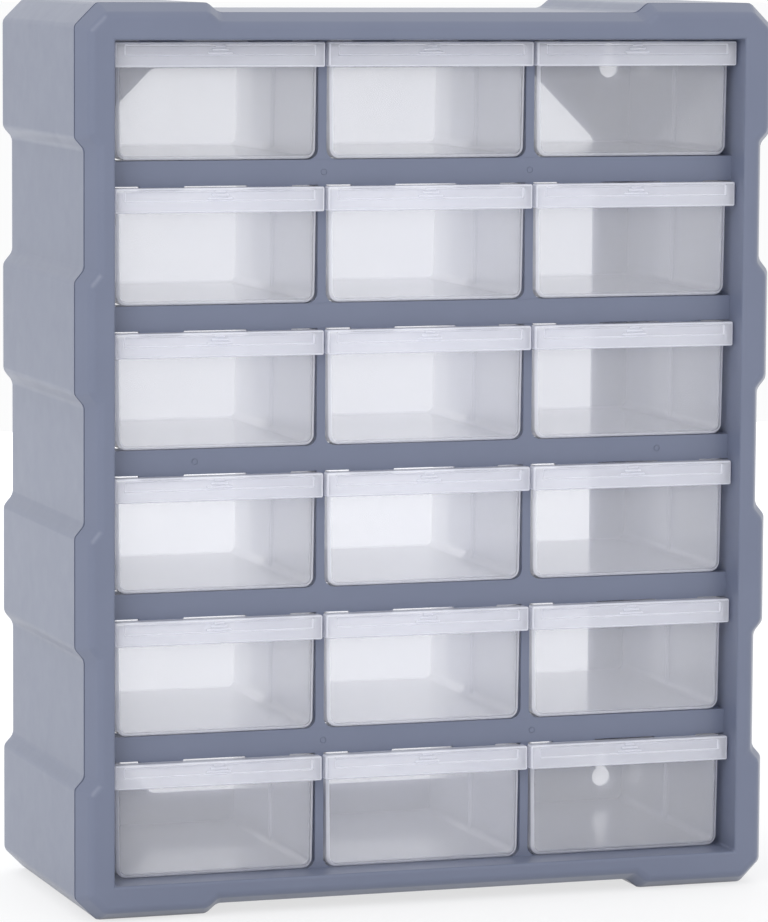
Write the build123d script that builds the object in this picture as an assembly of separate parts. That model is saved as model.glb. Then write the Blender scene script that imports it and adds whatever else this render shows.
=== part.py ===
"""Parts bin cabinet: a moulded housing with eighteen small drawers in six rows of three.

All lengths are millimetres. X runs across the front, left to right, Y runs from the front to the
back and Z runs up. The origin is at the bottom centre of the whole cabinet.
"""
from build123d import *
import os

os.makedirs("parts", exist_ok=True)

# ---- overall size -----------------------------------------------------------------------------
WIDTH = 380.0
DEPTH = 160.0
HEIGHT = 470.0
FRONT_Y = -DEPTH / 2
BACK_Y = DEPTH / 2
MID_Z = HEIGHT / 2

# ---- outline of the housing, seen from the front ------------------------------------------------
STEP = 5.0              # how far the recessed stretches of the sides, top and base lie back
CORNER_CUT = 11.5       # 45 degree cut at each of the four corners
SIDE_STEPS = ((30.5, 36.5), (94.0, 100.0), (161.0, 166.5))  # start and end, up from mid-height
TOP_STEP = (114.0, 120.0)                                   # start and end, out from the middle

# ---- drawer grid --------------------------------------------------------------------------------
ROWS = 6
COLUMNS = 3
ROW_PITCH = 74.0
COLUMN_PITCH = 113.8
OPENING_HEIGHT = 61.0
MULLION = 4.4
BEAM = ROW_PITCH - OPENING_HEIGHT
GRID_BOTTOM = MID_Z - (ROWS * ROW_PITCH - BEAM) / 2
GRID_TOP = GRID_BOTTOM + ROWS * ROW_PITCH - BEAM
GRID_HALF_WIDTH = 170.7

# ---- front frame --------------------------------------------------------------------------------
BEVEL_DEPTH = 11.0      # front face to the parting line
BEVEL_WIDTH = 5.6       # how much the outline shrinks over that depth
GRID_SETBACK = 16.0     # front face to the front of the beams
MOUTH_DRAFT = 0.8       # how much wider the frame's mouth is at the front face
FRAME_WALL = 2.4
ROOT = 1.2              # how deep the lugs and the side runners are rooted in the walls
BEAM_DEPTH = 14.0
GROOVE = 1.2            # width and depth of the groove at the parting line
PLUG_DEPTH = 14.0       # how far the frame's rim reaches into the shell
PLUG_GAP = 0.2
LUG_WIDTHS = (24.0, 22.0)   # at the root and at the tip
LUG_DROP = 2.6
LUG_THICKNESS = 3.0
LUG_OFFSET = 28.8           # from the drawer's centre line
PARTING_Y = FRONT_Y + BEVEL_DEPTH
GRID_Y = FRONT_Y + GRID_SETBACK
BEAM_BACK_Y = GRID_Y + BEAM_DEPTH

# ---- runners that the drawers slide on ------------------------------------------------------------
RUNNER_END_Y = 24.0
RUNNER_FLOOR = 2.0
CRADLE_RADIUS = 5.5     # follows the rounded lower edge of a drawer

# ---- rear shell -----------------------------------------------------------------------------------
SHELL_WALL = 2.5
SHELL_FRONT_Y = PARTING_Y + GROOVE
WINDOW_HALF_WIDTH = 147.5
WINDOW_RIM = 37.5       # height of the rim above and below the open back
WINDOW_CUT = 40.0       # 45 degree cut at each corner of the open back
KEYHOLE_X = 155.5
KEYHOLE_LOW_Z = 34.0
KEYHOLE_HIGH_Z = 432.0
KEYHOLE_RADIUS = 5.5
KEYHOLE_SLOT = (6.0, 14.0)  # width, and height above the centre of the round hole

# ---- drawers --------------------------------------------------------------------------------------
DRAWER_CLEARANCE = 0.3  # between a drawer and the runner it slides on
DRAWER_WIDTH = 107.8
DRAWER_HEIGHT = 60.2
DRAWER_FRONT_Y = -66.0
DRAWER_BACK_Y = 74.0
DRAWER_WALL = 1.4
DRAWER_DRAFT = 0.8      # how much each side draws in from the rim to the floor
DRAWER_EDGE = 5.5       # radius of the lower edges
DRAWER_CORNER = 2.4     # radius round the front and the back wall
LIP_WIDTH = 111.8
LIP_HEIGHT = 12.8
LIP_DEPTH = 6.0
LIP_WALL = 2.3
LIP_CORNER = 1.0
DIVIDER_Y = 4.0         # middle of the slots for a cross divider
DIVIDER_GAP = 1.8
DIVIDER_RIB = (1.2, 2.0)    # thickness, and height above the wall


def box(x0, x1, y0, y1, z0, z1):
    """A block between two corners."""
    block = Box(x1 - x0, y1 - y0, z1 - z0, align=(Align.MIN, Align.MIN, Align.MIN))
    return block.moved(Location((x0, y0, z0)))


def extrude_back(sketch, y0, y1, taper=0.0):
    """Push a flat shape, drawn in X and Z, from y0 back to y1 (or forward, if y1 is in front)."""
    plane = Plane(origin=(0, y0, 0), x_dir=(1, 0, 0), z_dir=(0, -1, 0))
    return extrude(plane * sketch, amount=y0 - y1, taper=taper)


def outline():
    """The housing's outline, built from its upper right quarter."""
    quarter = []
    for number, (start, end) in enumerate(SIDE_STEPS):
        inward, outward = WIDTH / 2 - STEP, WIDTH / 2
        if number % 2:
            inward, outward = outward, inward
        quarter += [(inward, start), (outward, end)]
    quarter += [
        (WIDTH / 2, MID_Z - CORNER_CUT),
        (WIDTH / 2 - CORNER_CUT, MID_Z),
        (TOP_STEP[1], MID_Z),
        (TOP_STEP[0], MID_Z - STEP),
    ]
    upper_left = [(-x, z) for x, z in reversed(quarter)]
    lower_left = [(-x, -z) for x, z in quarter]
    lower_right = [(x, -z) for x, z in reversed(quarter)]
    points = quarter + upper_left + lower_left + lower_right
    return Polygon(*[(x, z + MID_Z) for x, z in points], align=None)


def inset(sketch, distance):
    """The same outline, drawn in by a distance."""
    return offset(sketch, amount=-distance, kind=Kind.INTERSECTION)


def row_floor(row):
    """Height of the opening's lower edge. Row 1 is at the top."""
    return GRID_BOTTOM + (ROWS - row) * ROW_PITCH


def column_centre(column):
    """X of a column's middle. Column 1 is on the left."""
    return (column - (COLUMNS + 1) / 2) * COLUMN_PITCH


def boundary_lines():
    """X of the lines between columns, the outer two included."""
    return [(number - COLUMNS / 2) * COLUMN_PITCH for number in range(COLUMNS + 1)]


def mouth(grow):
    """The mouth of the front frame: tapered down to the grid, and straight from there on."""
    faces = []
    for y, draft in ((FRONT_Y, MOUTH_DRAFT), (GRID_Y, 0.0)):
        plane = Plane(origin=(0, y, 0), x_dir=(1, 0, 0), z_dir=(0, -1, 0))
        width = 2 * (GRID_HALF_WIDTH + draft + grow)
        height = GRID_TOP - GRID_BOTTOM + 2 * (draft + grow)
        faces.append(plane * Pos(0, MID_Z) * Rectangle(width, height))
    half = GRID_HALF_WIDTH + grow
    straight = box(-half, half, GRID_Y, BEAM_BACK_Y, GRID_BOTTOM - grow, GRID_TOP + grow)
    return loft(faces, ruled=True) + straight


def bezel():
    """The bevelled ring round the drawers, hollow behind, with the rim that plugs into the shell."""
    taper = Vector(BEVEL_DEPTH, BEVEL_WIDTH).get_angle(Vector(1, 0))
    ring = extrude_back(outline(), PARTING_Y, FRONT_Y, taper=taper)
    ring += mouth(FRAME_WALL)
    hollow = extrude_back(inset(outline(), FRAME_WALL), PARTING_Y, FRONT_Y + FRAME_WALL, taper=taper)
    ring -= hollow - mouth(FRAME_WALL)
    plug_sketch = inset(outline(), SHELL_WALL + PLUG_GAP)
    plug_sketch -= inset(outline(), SHELL_WALL + PLUG_GAP + FRAME_WALL)
    plug = extrude_back(plug_sketch, PARTING_Y - FRAME_WALL, SHELL_FRONT_Y + PLUG_DEPTH)
    seat_sketch = inset(outline(), GROOVE) - inset(outline(), SHELL_WALL + PLUG_GAP + FRAME_WALL)
    seat = extrude_back(seat_sketch, PARTING_Y - FRAME_WALL, SHELL_FRONT_Y)
    ring += plug
    ring += seat
    ring -= mouth(0.0)
    return ring.fuse(*lugs(GRID_TOP))


def crossbar(floor_z):
    """The channel below one row of openings, open at the back, with the lugs that hang from it."""
    low, high = floor_z - BEAM, floor_z
    bar = box(-GRID_HALF_WIDTH, GRID_HALF_WIDTH, GRID_Y, BEAM_BACK_Y, low, high)
    bar -= box(
        -GRID_HALF_WIDTH, GRID_HALF_WIDTH, GRID_Y + FRAME_WALL, BEAM_BACK_Y,
        low + FRAME_WALL, high - FRAME_WALL,
    )
    return bar.fuse(*lugs(low))


def lugs(ceiling_z):
    """Two short lugs over each opening of a row, which stop the drawers at full travel."""
    root, tip = (width / 2 for width in LUG_WIDTHS)
    solids = []
    for column in range(1, COLUMNS + 1):
        for side in (-1, 1):
            x = column_centre(column) + side * LUG_OFFSET
            shape = Polygon(
                (x - root, ceiling_z + ROOT), (x - root, ceiling_z), (x - tip, ceiling_z - LUG_DROP),
                (x + tip, ceiling_z - LUG_DROP), (x + root, ceiling_z), (x + root, ceiling_z + ROOT),
                align=None,
            )
            solids.append(extrude_back(shape, GRID_Y, GRID_Y + LUG_THICKNESS))
    return solids


def cradle_profile(x, floor_z):
    """Section of a runner: a floor with two hollow fillets that rise to a rib."""
    half = MULLION / 2 + CRADLE_RADIUS
    base = Pos(x, floor_z - RUNNER_FLOOR) * Rectangle(
        2 * half, RUNNER_FLOOR + CRADLE_RADIUS, align=(Align.CENTER, Align.MIN)
    )
    for side in (-1, 1):
        base -= Pos(x + side * half, floor_z + CRADLE_RADIUS) * Circle(CRADLE_RADIUS)
    return base


def post(x, floor_z):
    """A post between two openings, with the runner behind it that carries both drawers."""
    profile = cradle_profile(x, floor_z)
    foot = profile & Pos(x, floor_z) * Rectangle(
        2 * (MULLION + CRADLE_RADIUS), CRADLE_RADIUS, align=(Align.CENTER, Align.MIN)
    )
    upright = box(
        x - MULLION / 2, x + MULLION / 2, GRID_Y, BEAM_BACK_Y, floor_z, floor_z + OPENING_HEIGHT
    )
    return upright.fuse(
        extrude_back(foot, GRID_Y, BEAM_BACK_Y), extrude_back(profile, BEAM_BACK_Y, RUNNER_END_Y)
    )


def side_runner(x, floor_z):
    """Half a runner, at the frame's left or right wall."""
    inner_half = cradle_profile(x, floor_z) & Pos(0, floor_z) * Rectangle(
        2 * (GRID_HALF_WIDTH + ROOT), ROW_PITCH
    )
    return extrude_back(inner_half, BEAM_BACK_Y, RUNNER_END_Y)


def guides(floor_z):
    """What one row of drawers slides on: two posts with their runners, and two side runners."""
    solids = [post(x, floor_z) for x in boundary_lines()[1:-1]]
    solids += [side_runner(x, floor_z) for x in (-GRID_HALF_WIDTH, GRID_HALF_WIDTH)]
    return Compound(children=solids)


def keyhole(x, z):
    """Round entry hole with a narrower slot above it."""
    slot_width, slot_top = KEYHOLE_SLOT
    hole = Pos(x, z) * Circle(KEYHOLE_RADIUS)
    hole += Pos(x, z) * Rectangle(slot_width, slot_top - slot_width / 2, align=(Align.CENTER, Align.MIN))
    hole += Pos(x, z + slot_top - slot_width / 2) * Circle(slot_width / 2)
    return hole


def rear_shell():
    """Sides, top, base and the open back: one moulding."""
    shell = extrude_back(outline(), SHELL_FRONT_Y, BACK_Y)
    shell -= extrude_back(inset(outline(), SHELL_WALL), SHELL_FRONT_Y, BACK_Y - SHELL_WALL)
    window = Pos(0, MID_Z) * Rectangle(2 * WINDOW_HALF_WIDTH, HEIGHT - 2 * WINDOW_RIM)
    window = chamfer(window.vertices(), length=WINDOW_CUT)
    shell -= extrude_back(window, BACK_Y - SHELL_WALL, BACK_Y)
    for x in (-KEYHOLE_X, KEYHOLE_X):
        for z in (KEYHOLE_LOW_Z, KEYHOLE_HIGH_Z):
            shell -= extrude_back(keyhole(x, z), BACK_Y - SHELL_WALL, BACK_Y)
    return shell


def tub(inward):
    """A block with rounded lower edges: the drawer's outside, or its inside if drawn in."""
    half = DRAWER_WIDTH / 2 - inward
    section = Polygon(
        (-half, DRAWER_HEIGHT), (DRAWER_DRAFT - half, inward),
        (half - DRAWER_DRAFT, inward), (half, DRAWER_HEIGHT),
        align=None,
    )
    section = fillet(section.vertices().group_by(Axis.Y)[0], radius=DRAWER_EDGE - inward)
    block = extrude_back(section, DRAWER_FRONT_Y + inward, DRAWER_BACK_Y - inward)
    end_edges = block.edges().group_by(Axis.Y)
    rounded = [
        edge for edge in end_edges[0] + end_edges[-1] if edge.center().Z < DRAWER_HEIGHT - inward
    ]
    return fillet(rounded, radius=DRAWER_CORNER - inward)


def lip():
    """The full-width pull: a front plate with a top and two ends, open below."""
    front, low = DRAWER_FRONT_Y - LIP_DEPTH, DRAWER_HEIGHT - LIP_HEIGHT
    back = DRAWER_FRONT_Y + DRAWER_WALL
    pull = box(-LIP_WIDTH / 2, LIP_WIDTH / 2, front, back, low, DRAWER_HEIGHT)
    pull = fillet(pull.edges().filter_by(Axis.Z).group_by(Axis.Y)[0], radius=LIP_CORNER)
    return pull - box(
        LIP_WALL - LIP_WIDTH / 2, LIP_WIDTH / 2 - LIP_WALL, front + LIP_WALL, back,
        low, DRAWER_HEIGHT - LIP_WALL,
    )


def divider_ribs():
    """Two pairs of upright ribs that hold a cross divider."""
    thickness, height = DIVIDER_RIB
    wall = DRAWER_WIDTH / 2 - DRAWER_WALL / 2
    ribs = []
    for side in (-1, 1):
        for along in (-1, 1):
            inner_face = DIVIDER_Y + along * DIVIDER_GAP / 2
            outer_face = inner_face + along * thickness
            x0, x1 = sorted((side * (wall - height - DRAWER_WALL / 2), side * wall))
            y0, y1 = sorted((inner_face, outer_face))
            ribs.append(box(x0, x1, y0, y1, DRAWER_WALL / 2, DRAWER_HEIGHT - LIP_WALL))
    return ribs


def drawer():
    """One drawer, standing on Z = 0 on the cabinet's centre line."""
    outside = tub(0.0)
    inside = tub(DRAWER_WALL)
    shell = outside - inside
    ribs = [rib & outside for rib in divider_ribs()]
    return shell.fuse(lip() - inside, *ribs)


export_step(bezel(), "parts/bezel.step")
export_step(rear_shell(), "parts/rear_shell.step")
for row in range(1, ROWS + 1):
    export_step(guides(row_floor(row)), f"parts/guides_r{row}.step")
for row in range(1, ROWS):
    export_step(crossbar(row_floor(row)), f"parts/crossbar_{row}.step")

one_drawer = drawer()
for row in range(1, ROWS + 1):
    for column in range(1, COLUMNS + 1):
        place = Location((column_centre(column), 0, row_floor(row) + DRAWER_CLEARANCE))
        export_step(one_drawer.moved(place), f"parts/drawer_r{row}c{column}.step")
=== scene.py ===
# %% [markdown]
# # A parts bin cabinet
#
# The real object is a grey polypropylene housing, moulded in two halves, with eighteen milky
# see-through drawers in six rows of three. This lesson dresses a packed engineering model of it:
# the model says where everything is and how it moves, and Blender adds the soft edges, the moulded
# details and the plastics.
#
# The first cell loads that model. Every length that can be read from it is read from it.

# %% Load the engineering model
import math

import bmesh
import bpy
from mathutils import Matrix, Vector


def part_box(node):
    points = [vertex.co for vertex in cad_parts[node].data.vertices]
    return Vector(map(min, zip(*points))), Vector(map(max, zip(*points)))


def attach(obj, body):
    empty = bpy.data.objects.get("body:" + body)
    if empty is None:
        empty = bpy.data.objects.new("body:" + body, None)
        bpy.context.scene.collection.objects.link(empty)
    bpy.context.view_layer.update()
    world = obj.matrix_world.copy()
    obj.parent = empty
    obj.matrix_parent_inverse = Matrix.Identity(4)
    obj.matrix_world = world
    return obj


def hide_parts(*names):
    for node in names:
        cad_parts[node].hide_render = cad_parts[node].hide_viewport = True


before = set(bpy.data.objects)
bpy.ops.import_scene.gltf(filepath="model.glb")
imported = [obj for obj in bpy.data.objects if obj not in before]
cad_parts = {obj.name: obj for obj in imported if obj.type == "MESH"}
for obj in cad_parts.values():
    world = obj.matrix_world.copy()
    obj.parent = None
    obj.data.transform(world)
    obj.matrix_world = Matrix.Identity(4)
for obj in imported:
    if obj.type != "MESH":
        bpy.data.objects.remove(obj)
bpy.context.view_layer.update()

MM = 0.001

# %% Measure the model
cabinet_low, cabinet_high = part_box("rear_shell")
bezel_low, bezel_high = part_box("bezel")
bar_low, bar_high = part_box("crossbar_1")
FRONT_Y, BACK_Y = bezel_low.y, cabinet_high.y
WIDTH, HEIGHT = cabinet_high.x - cabinet_low.x, cabinet_high.z - cabinet_low.z
MID_Z = HEIGHT / 2
SHELL_FRONT_Y = cabinet_low.y
GRID_Y, BEAM_BACK_Y = bar_low.y, bezel_high.y
GRID_HALF_WIDTH = bar_high.x
ROWS, COLUMNS = 6, 3
DRAWERS = {
    (row, column): f"drawer_r{row}c{column}"
    for row in range(1, ROWS + 1) for column in range(1, COLUMNS + 1)
}
ROW_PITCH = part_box("crossbar_1")[1].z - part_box("crossbar_2")[1].z
FIRST_FLOOR_Z = bar_high.z              # the floor of row 1's openings
OPENING_HEIGHT = 61 * MM
GRID_TOP = FIRST_FLOOR_Z + OPENING_HEIGHT
GRID_BOTTOM = HEIGHT - GRID_TOP
print("grid:", round(GRID_BOTTOM, 4), "to", round(GRID_TOP, 4), "row pitch", round(ROW_PITCH, 4))

# %% [markdown]
# ## The camera
#
# The photograph was taken from the left and a little above, with a long lens from about two and a
# half metres, so that the front's edges stay nearly parallel. The place, the turn and the lens were
# worked out by fitting corners of the housing to the picture. A camera looks along its own -Z, so
# its matrix is built from its right, up and backward directions.

# %% Camera
PHOTO_HEIGHT_PX = 922
FOCAL_LENGTH_PX = 4931.1
SENSOR_WIDTH_MM = 36.0
CAMERA_PLACE = Vector((-0.8367, -2.4810, 0.5077))
YAW, PITCH, ROLL = math.radians(18.62), math.radians(6.16), math.radians(0.35)

level_forward = Vector((math.sin(YAW), math.cos(YAW), 0.0))
forward = level_forward * math.cos(PITCH) - Vector((0.0, 0.0, math.sin(PITCH)))
level_right = Vector((math.cos(YAW), -math.sin(YAW), 0.0))
level_up = level_right.cross(forward)
right = level_right * math.cos(ROLL) + level_up * math.sin(ROLL)
up = level_up * math.cos(ROLL) - level_right * math.sin(ROLL)

camera_data = bpy.data.cameras.new("camera")
camera_data.sensor_width = SENSOR_WIDTH_MM
camera_data.lens = FOCAL_LENGTH_PX * SENSOR_WIDTH_MM / PHOTO_HEIGHT_PX
camera = bpy.data.objects.new("camera", camera_data)
bpy.context.collection.objects.link(camera)
turn = Matrix((right, up, -forward)).transposed().to_4x4()
camera.matrix_world = Matrix.Translation(CAMERA_PLACE) @ turn
bpy.context.scene.camera = camera
print("lens:", round(camera_data.lens, 1), "mm")

# %% [markdown]
# ## Materials
#
# A shader is a small network of nodes. One helper adds a node, sets its properties and feeds its
# inputs, either with a value or with another node's output, and that is enough for every material
# here. Colours are written as the hex values that a paint chart would give, and one function turns
# them into the linear values that a renderer adds up.

# %% Helpers for materials
def linear(hex_colour):
    """An sRGB hex colour as linear red, green, blue and alpha."""
    channels = [int(hex_colour[i:i + 2], 16) / 255 for i in (1, 3, 5)]
    straight = [c / 12.92 if c <= 0.04045 else ((c + 0.055) / 1.055) ** 2.4 for c in channels]
    return (*straight, 1.0)


def add_node(tree, kind, inputs=None, **settings):
    """Add one node, set its properties, and feed its inputs with values or other sockets."""
    node = tree.nodes.new("ShaderNode" + kind)
    for name, value in settings.items():
        setattr(node, name, value)
    for key, value in (inputs or {}).items():
        if isinstance(value, bpy.types.NodeSocket):
            tree.links.new(value, node.inputs[key])
        else:
            node.inputs[key].default_value = value
    return node


def new_material(name):
    """An empty node material, and its tree."""
    material = bpy.data.materials.new(name)
    material.use_nodes = True
    material.node_tree.nodes.clear()
    return material, material.node_tree


print("mid grey #808080 is", round(linear("#808080")[0], 3), "in linear values")

# %% [markdown]
# ### Moulded polypropylene, grey
#
# The housing is injection-moulded polypropylene with a little pigment. The tool was spark-eroded
# to a fine matt grain, so highlights are wide and soft, and the melt leaves faint streaks along the
# long walls. Three layers of noise give that: a grain just under a millimetre wide in the bump, a
# slow mottle in the colour, and streaks, stretched along X, in the roughness.

# %% Grey housing material
GRAIN = 0.9 * MM            # drawn coarser than the real 0.1 mm, which wouldn't show
MOTTLE = 30 * MM
STREAK = 9 * MM
STREAK_SQUEEZE = 0.12       # of the pattern along X, which draws the streaks out about eight times
LEAST_ROUGH, MOST_ROUGH = 0.27, 0.37

housing_grey, tree = new_material("moulded_grey_polypropylene")
place = add_node(tree, "TexCoord").outputs["Object"]
mottle = add_node(tree, "TexNoise", {"Vector": place, "Scale": 1 / MOTTLE, "Detail": 3.0})
flow = add_node(tree, "Mapping", {"Vector": place, "Scale": (STREAK_SQUEEZE, 1.0, 1.0)})
streaks = add_node(
    tree, "TexNoise", {"Vector": flow.outputs["Vector"], "Scale": 1 / STREAK, "Detail": 4.0}
)
grain = add_node(tree, "TexNoise", {"Vector": place, "Scale": 1 / GRAIN, "Detail": 2.0})
colour = add_node(
    tree, "Mix", {"Factor": mottle.outputs["Fac"], "A": linear("#6b7287"), "B": linear("#70778c")},
    data_type="RGBA",
)
shine = add_node(tree, "MapRange", {
    "Value": streaks.outputs["Fac"], "To Min": LEAST_ROUGH, "To Max": MOST_ROUGH,
})
bumps = add_node(
    tree, "Bump", {"Height": grain.outputs["Fac"], "Strength": 0.25, "Distance": 0.05 * MM}
)
plastic = add_node(tree, "BsdfPrincipled", {
    "Base Color": colour.outputs["Result"], "Roughness": shine.outputs["Result"],
    "Normal": bumps.outputs["Normal"], "IOR": 1.49, "Specular IOR Level": 0.5,
})
add_node(tree, "OutputMaterial", {"Surface": plastic.outputs["BSDF"]})
print(housing_grey.name, "has", len(tree.nodes), "nodes")

# %% [markdown]
# ### Natural polypropylene, milky
#
# The drawers are the same plastic without pigment, in a polished tool. A wall 1.4 mm thick lets
# over half of the light straight through and scatters the rest, to both sides, which makes
# it milky. The network mixes a Transparent shader with a blend of a pale plastic, which sends
# light back, and a Translucent shader, which passes it on. Two things raise the milky share,
# because the line of sight runs through more plastic there: a surface that turns away from the eye,
# which Layer Weight measures, and an edge, which an attribute on the mesh marks. That draws the
# white rims.
#
# The gloss on top grows with the fifth power of the turn. A Fresnel node would take the far side of
# each wall for a view from inside solid glass, and black it out.

# %% Milky drawer material
MILKY_SHARE = 0.24          # of the light that meets one face of a wall square on
GRAZING_SHARE = 0.50        # and of the light that grazes it
THICK_SHARE = 0.90          # both, where the line of sight runs along the plastic
DEPTH_LAYER = "plastic_depth"   # the attribute that marks thicker plastic with 1
HAZE = 25 * MM
RIPPLE = 14 * MM
GLOW_PART = 0.4             # of the scattered light, what goes on through the wall
SQUARE_GLOSS, GRAZING_GLOSS = 0.04, 0.9
MOST_FACES_IN_LINE = 24     # that a line of sight through the drawers can cross

drawer_clear, tree = new_material("milky_natural_polypropylene")
place = add_node(tree, "TexCoord").outputs["Object"]
haze = add_node(tree, "TexNoise", {"Vector": place, "Scale": 1 / HAZE, "Detail": 3.0})
ripple = add_node(tree, "TexNoise", {"Vector": place, "Scale": 1 / RIPPLE, "Detail": 1.0})
waves = add_node(
    tree, "Bump", {"Height": ripple.outputs["Fac"], "Strength": 0.3, "Distance": 0.4 * MM}
)
milk = add_node(tree, "Mix", {
    "Factor": haze.outputs["Fac"], "A": linear("#f0f1fa"), "B": linear("#f6f7fd"),
}, data_type="RGBA")
facing = add_node(tree, "LayerWeight", {"Blend": 0.5})
thin = add_node(tree, "MapRange", {
    "Value": facing.outputs["Facing"], "To Min": MILKY_SHARE, "To Max": GRAZING_SHARE,
})
depth = add_node(tree, "Attribute", attribute_name=DEPTH_LAYER)
share = add_node(tree, "MapRange", {
    "Value": depth.outputs["Fac"], "To Min": thin.outputs["Result"], "To Max": THICK_SHARE,
})
grazing = add_node(tree, "Math", {0: facing.outputs["Facing"], 1: 5.0}, operation="POWER")
gloss = add_node(tree, "MapRange", {
    "Value": grazing.outputs["Value"], "To Min": SQUARE_GLOSS, "To Max": GRAZING_GLOSS,
})
clear = add_node(tree, "BsdfTransparent")
milky = add_node(tree, "BsdfPrincipled", {
    "Base Color": milk.outputs["Result"], "Roughness": 0.35, "IOR": 1.49,
    "Specular IOR Level": 0.3, "Normal": waves.outputs["Normal"],
})
glow = add_node(tree, "BsdfTranslucent", {"Color": milk.outputs["Result"]})
scatter = add_node(tree, "MixShader", {
    0: GLOW_PART, 1: milky.outputs["BSDF"], 2: glow.outputs["BSDF"],
})
body = add_node(tree, "MixShader", {
    0: share.outputs["Result"], 1: clear.outputs["BSDF"], 2: scatter.outputs["Shader"],
})
mirror = add_node(tree, "BsdfAnisotropic", {"Roughness": 0.12, "Normal": waves.outputs["Normal"]})
skin = add_node(tree, "MixShader", {
    0: gloss.outputs["Result"], 1: body.outputs["Shader"], 2: mirror.outputs["BSDF"],
})
add_node(tree, "OutputMaterial", {"Surface": skin.outputs["Shader"]})
bpy.context.scene.cycles.transparent_max_bounces = MOST_FACES_IN_LINE
print(drawer_clear.name, "has", len(tree.nodes), "nodes")

# %% [markdown]
# ## Modelling helpers
#
# Each piece starts as a bmesh, which is a mesh that can be edited. It becomes an object at the
# origin, with its place in its vertices. Modifiers may finish it, and are applied at once, so that
# the mesh is the whole truth. Booleans join or cut closed solids where an outline would be awkward
# to draw.

# %% From a bmesh to an object
SAME_POINT = 1e-7           # metres, closer than which two points are one
SAME_LENGTH = 5e-6


def near(value, wanted):
    """True if two lengths are the same to a few microns."""
    return abs(value - wanted) < SAME_LENGTH


def new_piece(name, bm, closed_side=None):
    """Turn a bmesh into an object at the origin, its faces pointing outwards.

    For an open sheet, closed_side is the direction that its closed side looks in.
    """
    bmesh.ops.remove_doubles(bm, verts=bm.verts, dist=SAME_POINT)
    bmesh.ops.recalc_face_normals(bm, faces=bm.faces)
    if closed_side:
        flow = sum((f.normal * f.calc_area() for f in bm.faces), Vector())
        if flow.dot(Vector(closed_side)) < 0:
            bmesh.ops.reverse_faces(bm, faces=bm.faces)
    mesh = bpy.data.meshes.new(name)
    bm.to_mesh(mesh)
    bm.free()
    obj = bpy.data.objects.new(name, mesh)
    bpy.context.collection.objects.link(obj)
    return obj


print("points closer than", SAME_POINT, "m are merged")

# %% [markdown]
# Bevels and booleans are modifiers here. A Bevel modifier can read a weight from each edge, so one
# bevel gives crests and corners their own radii. Weighted normals then keep flat faces flat.

# %% Finish a piece
SMOOTH_ANGLE = math.radians(35)


def modify(obj, kind, **settings):
    """Add a modifier, set it up and apply it."""
    modifier = obj.modifiers.new(kind.lower(), kind)
    for name, value in settings.items():
        setattr(modifier, name, value)
    graph = bpy.context.evaluated_depsgraph_get()
    result = bpy.data.meshes.new_from_object(obj.evaluated_get(graph))
    obj.modifiers.clear()
    old, obj.data = obj.data, result
    bpy.data.meshes.remove(old)
    result.name = obj.name
    return obj


def combine(obj, operation, *others):
    """Join or cut a solid with others, which are used up."""
    for other in others:
        modify(obj, "BOOLEAN", operation=operation, solver="EXACT", object=other)
        bpy.data.objects.remove(other)
    return obj


def round_edges(obj, width, *rules, segments=3):
    """Round edges by a width times the weight of the first rule whose test picks them."""
    bm = bmesh.new()
    bm.from_mesh(obj.data)
    layer = bm.edges.layers.float.new("bevel_weight_edge")
    for edge in bm.edges:
        ends = [v.co for v in edge.verts]
        edge[layer] = next((weight for weight, test in rules if test(*ends)), 0.0)
    bm.to_mesh(obj.data)
    bm.free()
    return modify(obj, "BEVEL", width=width, segments=segments, limit_method="WEIGHT", profile=0.5)


def shade(obj, material):
    """Give the piece its material, and smooth shading that stays flat on flat faces."""
    obj.data.materials.clear()
    obj.data.materials.append(material)
    obj.data.polygons.foreach_set("use_smooth", [True] * len(obj.data.polygons))
    obj.data.set_sharp_from_angle(angle=SMOOTH_ANGLE)
    return modify(obj, "WEIGHTED_NORMAL", keep_sharp=True)


print("smooth below", round(math.degrees(SMOOTH_ANGLE)), "degrees")

# %% [markdown]
# Three shapes come back often: a box with rounded edges, a face pushed out into a solid, and a loop
# of edges pushed out into a wall.

# %% Draw simple shapes
def block(name, low, high, rounding=0.0, segments=3):
    """A box between two corners, with all its edges rounded."""
    bm = bmesh.new()
    bmesh.ops.create_cube(bm, size=1.0)
    low, high = Vector(low), Vector(high)
    bmesh.ops.scale(bm, vec=high - low, verts=bm.verts)
    bmesh.ops.translate(bm, vec=(low + high) / 2, verts=bm.verts)
    if rounding:
        bmesh.ops.bevel(
            bm, geom=bm.edges[:], offset=rounding, segments=segments, profile=0.5,
            affect="EDGES", material=-1,
        )
    return new_piece(name, bm)


def push_face(bm, face, move):
    """Extrude one face into a solid."""
    made = bmesh.ops.extrude_face_region(bm, geom=[face])["geom"]
    bmesh.ops.translate(bm, vec=move, verts=[g for g in made if isinstance(g, bmesh.types.BMVert)])


def push_edges(bm, edges, move, shrink=0.0):
    """Extrude a loop of edges by a vector, drawn in towards the middle by shrink."""
    made = bmesh.ops.extrude_edge_only(bm, edges=edges)["geom"]
    points = [g for g in made if isinstance(g, bmesh.types.BMVert)]
    bmesh.ops.translate(bm, vec=move, verts=points)
    for point in points:
        point.co.x -= math.copysign(shrink, point.co.x)
        point.co.z -= math.copysign(shrink, point.co.z - MID_Z)
    return [g for g in made if isinstance(g, bmesh.types.BMEdge)]


print("shapes:", [shape.__name__ for shape in (block, push_face, push_edges)])

# %% [markdown]
# ## The housing's outline
#
# Seen from the front, the housing is a rectangle whose sides, top and base step in and out by
# 5 mm, with its four corners cut off. One quarter of it is enough: the rest is its mirror image.

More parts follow.
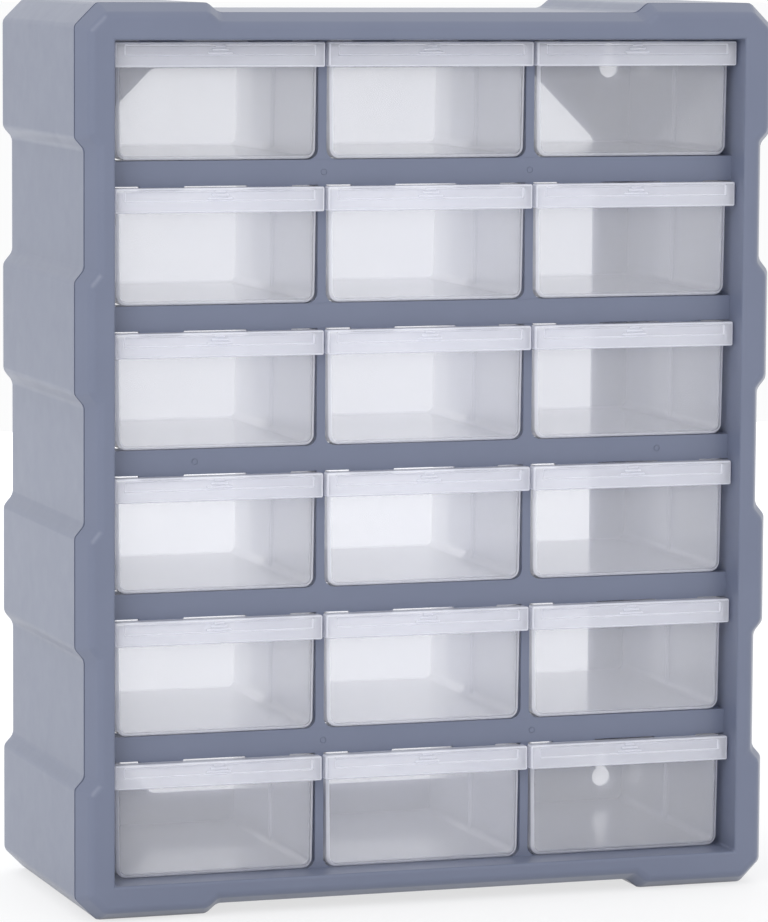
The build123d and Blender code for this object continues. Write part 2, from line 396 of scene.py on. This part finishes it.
# %% Outline of the housing
STEP = 5 * MM
CORNER_CUT = 11.5 * MM
SIDE_STEPS = ((30.5 * MM, 36.5 * MM), (94 * MM, 100 * MM), (161 * MM, 166.5 * MM))
TOP_STEP = (114 * MM, 120 * MM)
OUTER_X = WIDTH / 2
INNER_X = OUTER_X - STEP


def outline_points():
    """The outline's corners as X and Z, in order, from the right side's middle and up."""
    sides = ((INNER_X, OUTER_X), (OUTER_X, INNER_X), (INNER_X, OUTER_X))
    quarter = []
    for (x0, x1), (z0, z1) in zip(sides, SIDE_STEPS):
        quarter += [(x0, z0), (x1, z1)]
    quarter += [
        (OUTER_X, MID_Z - CORNER_CUT), (OUTER_X - CORNER_CUT, MID_Z),
        (TOP_STEP[1], MID_Z), (TOP_STEP[0], MID_Z - STEP),
    ]
    upper = quarter + [(-x, z) for x, z in reversed(quarter)]
    return upper + [(-x, -z) for x, z in upper]


def outline_face(bm, y):
    """The outline as one flat face at a given Y."""
    face = bm.faces.new([bm.verts.new((x, y, z + MID_Z)) for x, z in outline_points()])
    face.normal_update()
    return face


print("outline corners:", len(outline_points()))

# %% [markdown]
# ## The rear shell
#
# Sides, top, base and the rim round the open back are one moulding, 2.5 mm thick. It is modelled as
# it is designed: the outer skin first, as the outline pushed forward and open in front, then a wall
# of even thickness grown inwards, then the rounding of the outer edges. The window and the
# keyholes are cut last, with solids that are drawn first.

# %% Cutters for the back
SHELL_WALL = 2.5 * MM
WINDOW_HALF_WIDTH = 147.5 * MM
WINDOW_RIM = 37.5 * MM
WINDOW_CUT = 40 * MM
WINDOW_ROUND = 3 * MM
KEYHOLE_X, KEYHOLE_Z = 155.5 * MM, (34 * MM, 432 * MM)
KEYHOLE_RADIUS, SLOT_WIDTH, SLOT_TOP = 5.5 * MM, 6 * MM, 14 * MM
HOLE_STEPS, SLOT_STEPS = 32, 12


def back_cutter(name, bm):
    """Push the one flat face of a bmesh right through the back wall."""
    bmesh.ops.translate(bm, vec=(0, -3 * SHELL_WALL, 0), verts=bm.verts)
    push_face(bm, bm.faces[:][0], (0, 5 * SHELL_WALL, 0))
    return new_piece(name, bm)


def keyhole_cutter(x, z):
    """A round hole with a narrower slot above it."""
    bm = bmesh.new()
    radius, half_slot = KEYHOLE_RADIUS, SLOT_WIDTH / 2
    meets = math.asin(half_slot / radius)
    hole_sweep = math.tau - 2 * meets
    hole_turns = [meets + hole_sweep * n / HOLE_STEPS for n in range(HOLE_STEPS + 1)]
    slot_turns = [math.pi * n / SLOT_STEPS for n in range(SLOT_STEPS + 1)]
    points = [(radius * math.sin(a), radius * math.cos(a)) for a in hole_turns]
    points += [
        (-half_slot * math.cos(a), SLOT_TOP - half_slot + half_slot * math.sin(a))
        for a in slot_turns
    ]
    bm.faces.new([bm.verts.new((x + px, BACK_Y, z + pz)) for px, pz in points])
    return back_cutter("keyhole_cutter", bm)


def window_cutter():
    """The open back: a rectangle with its corners cut off and a little rounded."""
    bm = bmesh.new()
    bmesh.ops.create_grid(bm, x_segments=1, y_segments=1, size=0.5)
    bmesh.ops.scale(bm, vec=(2 * WINDOW_HALF_WIDTH, HEIGHT - 2 * WINDOW_RIM, 1), verts=bm.verts)
    bmesh.ops.rotate(bm, matrix=Matrix.Rotation(math.pi / 2, 3, "X"), verts=bm.verts)
    bmesh.ops.translate(bm, vec=(0, BACK_Y, MID_Z), verts=bm.verts)
    for cut, segments in ((WINDOW_CUT, 1), (WINDOW_ROUND, 4)):
        bmesh.ops.bevel(
            bm, geom=bm.verts[:], offset=cut, segments=segments, profile=0.5,
            affect="VERTICES", material=-1,
        )
    return back_cutter("window_cutter", bm)


print("window:", round(2 * WINDOW_HALF_WIDTH, 3), "by", round(HEIGHT - 2 * WINDOW_RIM, 3), "m")

# %% [markdown]
# The wall grows inwards from the skin, so the outside keeps its size exactly. Only edges that lie
# on the outline are rounded, and the rim that meets the bezel is only just broken.

# %% Rear shell
SHELL_EDGE = 2.0 * MM


def on_outline(point):
    """True if a point lies at one of the outline's corners."""
    return any(near(point.x, x) and near(point.z, z + MID_Z) for x, z in outline_points())


def rear_shell():
    """The rear moulding of the housing."""
    bm = bmesh.new()
    back = outline_face(bm, BACK_Y)
    push_edges(bm, back.edges[:], (0, SHELL_FRONT_Y - BACK_Y, 0))
    shell = new_piece("rear_shell_moulding", bm, closed_side=(0, 1, 0))
    modify(shell, "SOLIDIFY", thickness=SHELL_WALL, offset=-1, use_even_offset=True)
    round_edges(
        shell, SHELL_EDGE,
        # the rim that meets the bezel, then every other edge of the outside
        (0.1, lambda a, b: near(a.y, SHELL_FRONT_Y) and near(b.y, SHELL_FRONT_Y)),
        (1.0, lambda a, b: on_outline(a) and on_outline(b)),
    )
    cutters = [keyhole_cutter(side * KEYHOLE_X, z) for side in (-1, 1) for z in KEYHOLE_Z]
    return combine(shell, "DIFFERENCE", window_cutter(), *cutters)


rear = shade(rear_shell(), housing_grey)
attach(rear, "cabinet")
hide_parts("rear_shell")
print("rear shell:", len(rear.data.polygons), "faces")

# %% [markdown]
# ## The bezel
#
# The front ring catches most of the light, so its crests matter more than anything else on the
# housing. It is one sheet: a band that slopes in from the parting line, the flat front, the mouth
# that runs back to the grid, and the rim that plugs into the shell. Each kind of edge gets its own
# bevel weight, and one Bevel modifier rounds them all, with clean corners where they meet. The
# step at the parting line leaves the thin dark joint between the two mouldings. The helpers come
# first: one cuts the mouth, by four planes through the front, and two tell its edges from the
# others.

# %% Cut and find the mouth
MOUTH_DRAFT = 0.8 * MM
MOUTH_SLACK = MOUTH_DRAFT + 0.1 * MM


def front_faces(bm):
    """The faces that lie flat in the front plane."""
    return [f for f in bm.faces if all(near(v.co.y, FRONT_Y) for v in f.verts)]


def cut_mouth(bm):
    """Cut the mouth out of the front face, and give back the edges round it."""
    half_width, half_height = GRID_HALF_WIDTH + MOUTH_DRAFT, GRID_TOP - MID_Z + MOUTH_DRAFT
    planes = [((side * half_width, 0, 0), (1, 0, 0)) for side in (-1, 1)]
    planes += [((0, 0, MID_Z + side * half_height), (0, 0, 1)) for side in (-1, 1)]
    for place, normal in planes:
        flat = front_faces(bm)
        around = {g for f in flat for g in (*f.edges, *f.verts)}
        bmesh.ops.bisect_plane(bm, geom=flat + list(around), plane_co=place, plane_no=normal)
    middle = next(
        f for f in front_faces(bm)
        if (f.calc_center_median() - Vector((0, FRONT_Y, MID_Z))).length < STEP
    )
    rim = middle.edges[:]
    bmesh.ops.delete(bm, geom=[middle], context="FACES_ONLY")
    return rim


def in_mouth(*points):
    """True if the points lie at the corners of the mouth, at any depth."""
    return all(
        abs(abs(p.x) - GRID_HALF_WIDTH) < MOUTH_SLACK
        and abs(abs(p.z - MID_Z) - GRID_TOP + MID_Z) < MOUTH_SLACK
        for p in points
    )


def spans(a, b, front_y, back_y):
    """True if an edge runs from one depth to another, or along it where both are the same."""
    return near(min(a.y, b.y), front_y) and near(max(a.y, b.y), back_y)


print("mouth:", round(2 * GRID_HALF_WIDTH, 4), "m wide at the grid")

# %% [markdown]
# The sheet starts as two outlines at the parting line. One grows forward into the band and the
# front, and the other back into the rim that plugs into the shell.

# %% Bezel
BEVEL_DEPTH = 11 * MM       # front face to the parting line
BEVEL_WIDTH = 5.6 * MM
FRAME_WALL = 2.4 * MM
PLUG_INSET = 2.7 * MM
PLUG_DEPTH = 15.2 * MM
PARTING_Y = FRONT_Y + BEVEL_DEPTH
CREST = 3.0 * MM            # the widest rounding, which each kind of edge takes a share of


def inset_face(bm, face, thickness, depth):
    """Shrink a lone face evenly inside a new ring, and push it along its normal."""
    bmesh.ops.inset_region(
        bm, faces=[face], thickness=thickness, depth=depth, use_even_offset=True, use_boundary=True
    )


def bezel():
    """The front ring of the housing, with the rim that plugs into the shell."""
    bm = bmesh.new()
    front = outline_face(bm, PARTING_Y)
    inset_face(bm, front, BEVEL_WIDTH, BEVEL_DEPTH)
    grid_edge = push_edges(bm, cut_mouth(bm), (0, GRID_Y - FRONT_Y, 0), MOUTH_DRAFT)
    push_edges(bm, grid_edge, (0, BEAM_BACK_Y - GRID_Y, 0))
    seat = outline_face(bm, PARTING_Y)
    inset_face(bm, seat, PLUG_INSET, 0)
    plug_edge = seat.edges[:]
    bmesh.ops.delete(bm, geom=[seat], context="FACES_ONLY")
    push_edges(bm, plug_edge, (0, PLUG_DEPTH, 0))
    ring = new_piece("bezel_moulding", bm, closed_side=(0, -1, 0))
    modify(ring, "SOLIDIFY", thickness=FRAME_WALL, offset=-1, use_even_offset=True)

    def on_front(a, b):
        return spans(a, b, FRONT_Y, FRONT_Y)

    return round_edges(
        ring, CREST,
        # the crest round the mouth, then the outer one
        (0.5, lambda a, b: on_front(a, b) and in_mouth(a, b)),
        (1.0, lambda a, b: on_front(a, b) and not in_mouth(a) and not in_mouth(b)),
        # the corners of the sloping band, its edge at the parting line, and the mouth's corners
        (0.6, lambda a, b: spans(a, b, FRONT_Y, PARTING_Y)),
        (0.2, lambda a, b: on_outline(a) and on_outline(b)),
        (0.4, lambda a, b: in_mouth(a, b) and not near(a.y, b.y)),
        segments=4,
    )


front_ring = shade(bezel(), housing_grey)
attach(front_ring, "cabinet")
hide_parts("bezel")
print("bezel:", len(front_ring.data.polygons), "faces")

# %% [markdown]
# ## Crossbars and lugs
#
# Five channels run across the mouth, open at the back. Two short lugs hang over each drawer, flush
# with the channel's front, and stop the drawer at full travel. Small round marks on the channels'
# faces are where pins pushed the moulding out of its tool. Lugs and marks are drawn first, to be
# joined to the channels and cut out of them.

# %% Lugs and pin marks
LUG_ROOT_WIDTH, LUG_TIP_WIDTH, LUG_DROP, LUG_THICKNESS = 24 * MM, 22 * MM, 2.6 * MM, 3 * MM
LUG_OFFSET = 28.8 * MM
ROOTED = 1 * MM             # how far a piece runs into the wall that carries it
PIN_MARK_RADIUS, PIN_MARK_WIDTH, PIN_MARK_DEPTH = 1.7 * MM, 0.4 * MM, 0.3 * MM
PIN_MARK_STEPS = 24
COLUMN_X = [sum(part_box(DRAWERS[1, column]), Vector()).x / 2 for column in range(1, COLUMNS + 1)]


def lugs(ceiling_z):
    """Six tapered lugs that hang from one ceiling, two over each drawer."""
    bm = bmesh.new()
    root, tip = LUG_ROOT_WIDTH / 2, LUG_TIP_WIDTH / 2
    outline = [
        (-root, ROOTED), (-root, 0), (-tip, -LUG_DROP), (tip, -LUG_DROP), (root, 0), (root, ROOTED),
    ]
    for x in (centre + side * LUG_OFFSET for centre in COLUMN_X for side in (-1, 1)):
        face = bm.faces.new([bm.verts.new((x + px, GRID_Y, ceiling_z + pz)) for px, pz in outline])
        push_face(bm, face, (0, LUG_THICKNESS, 0))
    return new_piece("lugs", bm)


def pin_mark(x, z):
    """The ring that an ejector pin leaves, as a cutter."""
    bm = bmesh.new()
    for radius in (PIN_MARK_RADIUS, PIN_MARK_RADIUS - PIN_MARK_WIDTH):
        bmesh.ops.create_circle(bm, segments=PIN_MARK_STEPS, radius=radius)
    bmesh.ops.bridge_loops(bm, edges=bm.edges[:])
    made = bmesh.ops.extrude_face_region(bm, geom=bm.faces[:])["geom"]
    points = [g for g in made if isinstance(g, bmesh.types.BMVert)]
    bmesh.ops.translate(bm, vec=(0, 0, 2 * PIN_MARK_DEPTH), verts=points)
    bmesh.ops.rotate(bm, matrix=Matrix.Rotation(math.pi / 2, 3, "X"), verts=bm.verts)
    bmesh.ops.translate(bm, vec=(x, GRID_Y + PIN_MARK_DEPTH, z), verts=bm.verts)
    return new_piece("pin_mark", bm)


print("drawer columns at X:", [round(x, 4) for x in COLUMN_X])

# %% [markdown]
# A channel is a box without its back and ends, given a wall that grows inwards. The top row has no
# channel over it, so its lugs hang from the bezel, as a piece of their own.

# %% Crossbars
BEAM = ROW_PITCH - OPENING_HEIGHT
BEAM_EDGE, BEAM_EDGE_ANGLE = 0.6 * MM, math.radians(50)
PIN_MARKS = {1: (-56 * MM, 57 * MM), 3: (-125 * MM, 130 * MM), 5: (-55 * MM, 61 * MM)}


def crossbar(name, low_z, marks):
    """One channel with its lugs and pin marks."""
    bm = bmesh.new()
    bmesh.ops.create_cube(bm, size=1.0)
    half = GRID_HALF_WIDTH + ROOTED
    bmesh.ops.scale(bm, vec=(2 * half, BEAM_BACK_Y - GRID_Y, BEAM), verts=bm.verts)
    bmesh.ops.translate(
        bm, vec=(0, (GRID_Y + BEAM_BACK_Y) / 2, low_z + BEAM / 2), verts=bm.verts
    )
    bmesh.ops.recalc_face_normals(bm, faces=bm.faces)
    open_sides = [f for f in bm.faces if near(f.normal.y, 1) or near(abs(f.normal.x), 1)]
    bmesh.ops.delete(bm, geom=open_sides, context="FACES")
    bar = new_piece(name, bm, closed_side=(0, -1, 0))
    modify(bar, "SOLIDIFY", thickness=FRAME_WALL, offset=-1, use_even_offset=True)
    combine(bar, "UNION", lugs(low_z))
    combine(bar, "DIFFERENCE", *[pin_mark(x, low_z + BEAM / 2) for x in marks])
    return modify(
        bar, "BEVEL", width=BEAM_EDGE, segments=2, limit_method="ANGLE",
        angle_limit=BEAM_EDGE_ANGLE, profile=0.5,
    )


for number in range(1, ROWS):
    node = f"crossbar_{number}"
    bar = crossbar(f"{node}_moulding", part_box(node)[1].z - BEAM, PIN_MARKS.get(number, ()))
    shade(bar, housing_grey)
    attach(bar, "cabinet")
    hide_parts(node)
top_lugs = lugs(GRID_TOP)
top_lugs.name = "top_lugs"
shade(modify(top_lugs, "BEVEL", width=BEAM_EDGE / 2, segments=2, profile=0.5), housing_grey)
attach(top_lugs, "cabinet")
print("crossbar:", len(bar.data.polygons), "faces")

# %% [markdown]
# ## Posts and runners
#
# The engineering model already has the right shape here, with the hollow fillets that carry the
# drawers' rounded edges, so these nodes stay and only get the plastic.

# %% Posts and runners
for row in range(1, ROWS + 1):
    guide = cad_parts[f"guides_r{row}"]
    guide.data.materials.clear()
    guide.data.materials.append(housing_grey)
print("guides:", ROWS)

# %% [markdown]
# ## The drawers
#
# All eighteen are the same moulding, so one is built with care and then copied into each place. The
# tub is an open box whose lower edges are well rounded. It is modelled as a skin, with even
# thickness grown inwards. It stands on Z = 0 until it is copied.

# %% The tub
drawer_low, drawer_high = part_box(DRAWERS[1, 2])
LIP_DEPTH = 6.0 * MM
DRAWER_WIDTH = 107.8 * MM
DRAWER_HEIGHT = drawer_high.z - drawer_low.z
TUB_FRONT_Y, TUB_BACK_Y = drawer_low.y + LIP_DEPTH, drawer_high.y
DRAWER_WALL = 1.4 * MM
DRAWER_DRAFT = 0.8 * MM
LOWER_EDGE = 5.5 * MM
UPRIGHT_EDGE = 2.8 * MM
RIM_EDGE, RIM_EDGE_ANGLE = 0.35 * MM, math.radians(60)


def tub():
    """The open box, with rounded lower edges and a wall of even thickness."""
    bm = bmesh.new()
    bmesh.ops.create_cube(bm, size=1.0)
    bmesh.ops.scale(bm, vec=(DRAWER_WIDTH, TUB_BACK_Y - TUB_FRONT_Y, DRAWER_HEIGHT), verts=bm.verts)
    bmesh.ops.translate(
        bm, vec=(0, (TUB_FRONT_Y + TUB_BACK_Y) / 2, DRAWER_HEIGHT / 2), verts=bm.verts
    )
    for point in bm.verts:
        if near(point.co.z, 0):
            point.co.x -= math.copysign(DRAWER_DRAFT, point.co.x)
    lid = [f for f in bm.faces if all(near(v.co.z, DRAWER_HEIGHT) for v in f.verts)]
    bmesh.ops.delete(bm, geom=lid, context="FACES_ONLY")
    lower = [
        e for e in bm.edges
        if all(near(v.co.z, 0) for v in e.verts) and near(e.verts[0].co.x, e.verts[1].co.x)
    ]
    bmesh.ops.bevel(
        bm, geom=lower, offset=LOWER_EDGE, segments=6, profile=0.5, affect="EDGES", material=-1
    )
    ends = [
        e for e in bm.edges
        if any(all(near(v.co.y, end) for v in e.verts) for end in (TUB_FRONT_Y, TUB_BACK_Y))
        and not all(near(v.co.z, DRAWER_HEIGHT) for v in e.verts)
    ]
    bmesh.ops.bevel(
        bm, geom=ends, offset=UPRIGHT_EDGE, segments=4, profile=0.5, affect="EDGES", material=-1
    )
    box = new_piece("tub", bm, closed_side=(0, 0, -1))
    modify(box, "SOLIDIFY", thickness=DRAWER_WALL, offset=-1, use_even_offset=True)
    return modify(
        box, "BEVEL", width=RIM_EDGE, segments=2, limit_method="ANGLE",
        angle_limit=RIM_EDGE_ANGLE, profile=0.5,
    )


print("tub:", round(DRAWER_WIDTH, 4), "wide,", round(DRAWER_HEIGHT, 4), "m high")

# %% [markdown]
# The lip is a block joined to the tub's front, cored out from below, with a shallow hollow for the
# fingertips and three short grip ridges. Two pairs of ribs on the side walls hold a divider.

# %% The lip and the ribs
LIP_WIDTH = drawer_high.x - drawer_low.x
LIP_HEIGHT = 12.8 * MM
LIP_WALL = 2.3 * MM
LIP_EDGE = 0.9 * MM
HOLLOW_DEPTH, HOLLOW_TOP, HOLLOW_BOTTOM, HOLLOW_END = 0.7 * MM, 1.2 * MM, 7.1 * MM, 5.0 * MM
RIDGES = ((1.9 * MM, 5.5 * MM), (3.7 * MM, 9.0 * MM), (5.5 * MM, 13.4 * MM))  # depth, width
RIDGE_HEIGHT = 1.1 * MM
RIDGE_ROUNDING = 0.45 * RIDGE_HEIGHT
DIVIDER_Y, DIVIDER_GAP = 4.0 * MM, 1.8 * MM
RIB_THICKNESS, RIB_HEIGHT = 1.2 * MM, 2.0 * MM
RIB_ROUNDING = RIB_THICKNESS / 4


def lip():
    """The pull across the front: a hollow block with a shallow hollow and ridges on its face."""
    front, half, top = TUB_FRONT_Y - LIP_DEPTH, LIP_WIDTH / 2, DRAWER_HEIGHT
    back = TUB_FRONT_Y + DRAWER_WALL / 2
    pull = block("lip", (-half, front, top - LIP_HEIGHT), (half, back, top), LIP_EDGE)
    inside = block(
        "inside_lip", (LIP_WALL - half, front + LIP_WALL, top - 2 * LIP_HEIGHT),
        (half - LIP_WALL, back + 5 * LIP_WALL, top - LIP_WALL), LIP_EDGE,
    )
    hollow = block(
        "hollow", (HOLLOW_END - half, front - LIP_WALL, top - HOLLOW_BOTTOM),
        (half - HOLLOW_END, front + HOLLOW_DEPTH, top - HOLLOW_TOP), HOLLOW_DEPTH,
    )
    combine(pull, "DIFFERENCE", inside, hollow)
    for depth, width in RIDGES:
        z = top - depth
        ridge = block(
            "ridge", (-width / 2, front, z - RIDGE_HEIGHT / 2),
            (width / 2, front + 2 * HOLLOW_DEPTH, z + RIDGE_HEIGHT / 2), RIDGE_ROUNDING,
        )
        combine(pull, "UNION", ridge)
    return pull


def divider_ribs():
    """Two pairs of upright ribs, rooted in the side walls."""
    ribs = []
    root = DRAWER_WIDTH / 2 - DRAWER_WALL / 2 - DRAWER_DRAFT
    tip = root - RIB_HEIGHT
    for side in (-1, 1):
        for along in (-1, 1):
            ys = [DIVIDER_Y + along * d for d in (DIVIDER_GAP / 2, DIVIDER_GAP / 2 + RIB_THICKNESS)]
            xs = sorted((side * root, side * tip))
            ribs.append(block(
                "rib", (xs[0], min(ys), DRAWER_WALL / 2),
                (xs[1], max(ys), DRAWER_HEIGHT - LIP_WALL), RIB_ROUNDING, segments=2,
            ))
    return ribs


print("lip:", round(LIP_WIDTH, 4), "m wide,", len(RIDGES), "ridges")

# %% [markdown]
# The finished drawer gets one number on each face, which the milky material reads: how much plastic
# lies behind it. Rims, rounded corners and the lip are thick, and show white.

# %% One drawer
LIP_PLASTIC_DEPTH, RIM_PLASTIC_DEPTH, LIP_EDGE_DEPTH = 0.42, 0.7, 1.0
SQUARE_NORMAL = 0.97        # the largest part of a normal that still counts as square to an axis
TURNED_NORMAL = 0.2         # the least part along Y of a face that turns towards the front


def plastic_depth(face):
    """How much plastic lies behind a face: 0 for a plain wall, 1 for an edge seen along it."""
    y, z = face.center.y, face.center.z
    rounded = max(abs(c) for c in face.normal) < SQUARE_NORMAL
    if y < TUB_FRONT_Y + RIM_EDGE and z > DRAWER_HEIGHT - LIP_HEIGHT - RIM_EDGE:
        return LIP_EDGE_DEPTH if rounded and y < TUB_FRONT_Y - LIP_WALL else LIP_PLASTIC_DEPTH
    turned = rounded and abs(face.normal.y) > TURNED_NORMAL
    on_front_corner = turned and y < TUB_FRONT_Y + DRAWER_WALL
    return RIM_PLASTIC_DEPTH if near(z, DRAWER_HEIGHT) or on_front_corner else 0.0


def mark_depth(obj):
    """Write each face's depth of plastic into the attribute that the material reads."""
    layer = obj.data.attributes.new(DEPTH_LAYER, "FLOAT", "FACE")
    layer.data.foreach_set("value", [plastic_depth(face) for face in obj.data.polygons])


master = combine(tub(), "UNION", lip(), *divider_ribs())
shade(master, drawer_clear)
mark_depth(master)
print("one drawer:", len(master.data.polygons), "faces")

# %% [markdown]
# ## Eighteen copies
#
# Each copy has a mesh of its own, moved to where the engineering model has that drawer, and rides
# on that drawer's body, so it slides when the drawer does.

# %% Copy the drawer into every place
for node in DRAWERS.values():
    low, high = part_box(node)
    mesh = master.data.copy()
    mesh.transform(Matrix.Translation(((low.x + high.x) / 2, 0, low.z)))
    drawer = bpy.data.objects.new(f"{node}_moulding", mesh)
    bpy.context.collection.objects.link(drawer)
    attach(drawer, node)
    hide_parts(node)
bpy.data.objects.remove(master)
print("drawers:", len(DRAWERS))

# %% [markdown]
# ## Studio
#
# The picture is a plain product shot on white. A pale floor carries the shadow, and shows a little
# whiter than it is to the camera and to reflections, which Light Path tells apart. The world is
# white all round, at a strength of 1, so colours render about as they are written. One large soft
# lamp in front and to the left gives the forms a direction, and one behind lights the drawers
# through the open back, as the bright paper behind the real cabinet did.

# %% Floor and world
FLOOR_SIZE = 30.0
FLOOR_GLOW = 0.7            # how much of the floor shows as pure white, the rest being its shadow

paper, tree = new_material("studio_paper")
path = add_node(tree, "LightPath")
mirrored = add_node(tree, "Math", {
    0: path.outputs["Is Glossy Ray"], 1: path.outputs["Is Transmission Ray"],
}, operation="MAXIMUM")
direct = add_node(tree, "Math", {
    0: path.outputs["Is Camera Ray"], 1: mirrored.outputs["Value"],
}, operation="MAXIMUM")
seen = add_node(tree, "Math", {0: direct.outputs["Value"], 1: FLOOR_GLOW}, operation="MULTIPLY")
matt = add_node(tree, "BsdfDiffuse", {"Color": linear("#f2f3f5")})
white = add_node(tree, "Emission", {"Color": linear("#ffffff"), "Strength": 1.0})
mix = add_node(tree, "MixShader", {
    0: seen.outputs["Value"], 1: matt.outputs["BSDF"], 2: white.outputs["Emission"],
})
add_node(tree, "OutputMaterial", {"Surface": mix.outputs["Shader"]})

bm = bmesh.new()
bmesh.ops.create_grid(bm, x_segments=1, y_segments=1, size=FLOOR_SIZE)
floor = new_piece("studio_floor", bm)
floor.data.materials.append(paper)

world = bpy.data.worlds.new("studio")
bpy.context.scene.world = world
world.use_nodes = True
world.node_tree.nodes.clear()
sky = add_node(world.node_tree, "Background", {"Color": linear("#ffffff"), "Strength": 1.0})
add_node(world.node_tree, "OutputWorld", {"Surface": sky.outputs["Background"]})
print("floor glow:", FLOOR_GLOW)

# %% [markdown]
# An area lamp gives soft shadows, and the larger it is, the softer. The backdrop lamp is hidden
# from the camera and from reflections, because the real backdrop is plain paper and not a lamp.

# %% Lamps
CENTRE = (0.0, 0.0, MID_Z)
KEY_PLACE, KEY_SIZE, KEY_POWER = (-1.5, -1.8, 1.6), 1.4, 15
BACKDROP_PLACE, BACKDROP_SIZE, BACKDROP_POWER = (0.3, 2.2, 0.7), 2.2, 52


def soft_lamp(name, place, target, size, power):
    """A square area lamp that looks at a point."""
    lamp = bpy.data.lights.new(name, "AREA")
    lamp.size = size
    lamp.energy = power
    obj = bpy.data.objects.new(name, lamp)
    bpy.context.collection.objects.link(obj)
    obj.location = place
    obj.rotation_euler = (Vector(target) - Vector(place)).to_track_quat("-Z", "Y").to_euler()
    return obj


soft_lamp("key", KEY_PLACE, CENTRE, KEY_SIZE, KEY_POWER)
backdrop_lamp = soft_lamp("backdrop_lamp", BACKDROP_PLACE, CENTRE, BACKDROP_SIZE, BACKDROP_POWER)
backdrop_lamp.visible_camera = False
backdrop_lamp.visible_glossy = False
bpy.context.scene.view_settings.view_transform = "Standard"
print("lamps:", KEY_POWER, "and", BACKDROP_POWER, "watts")
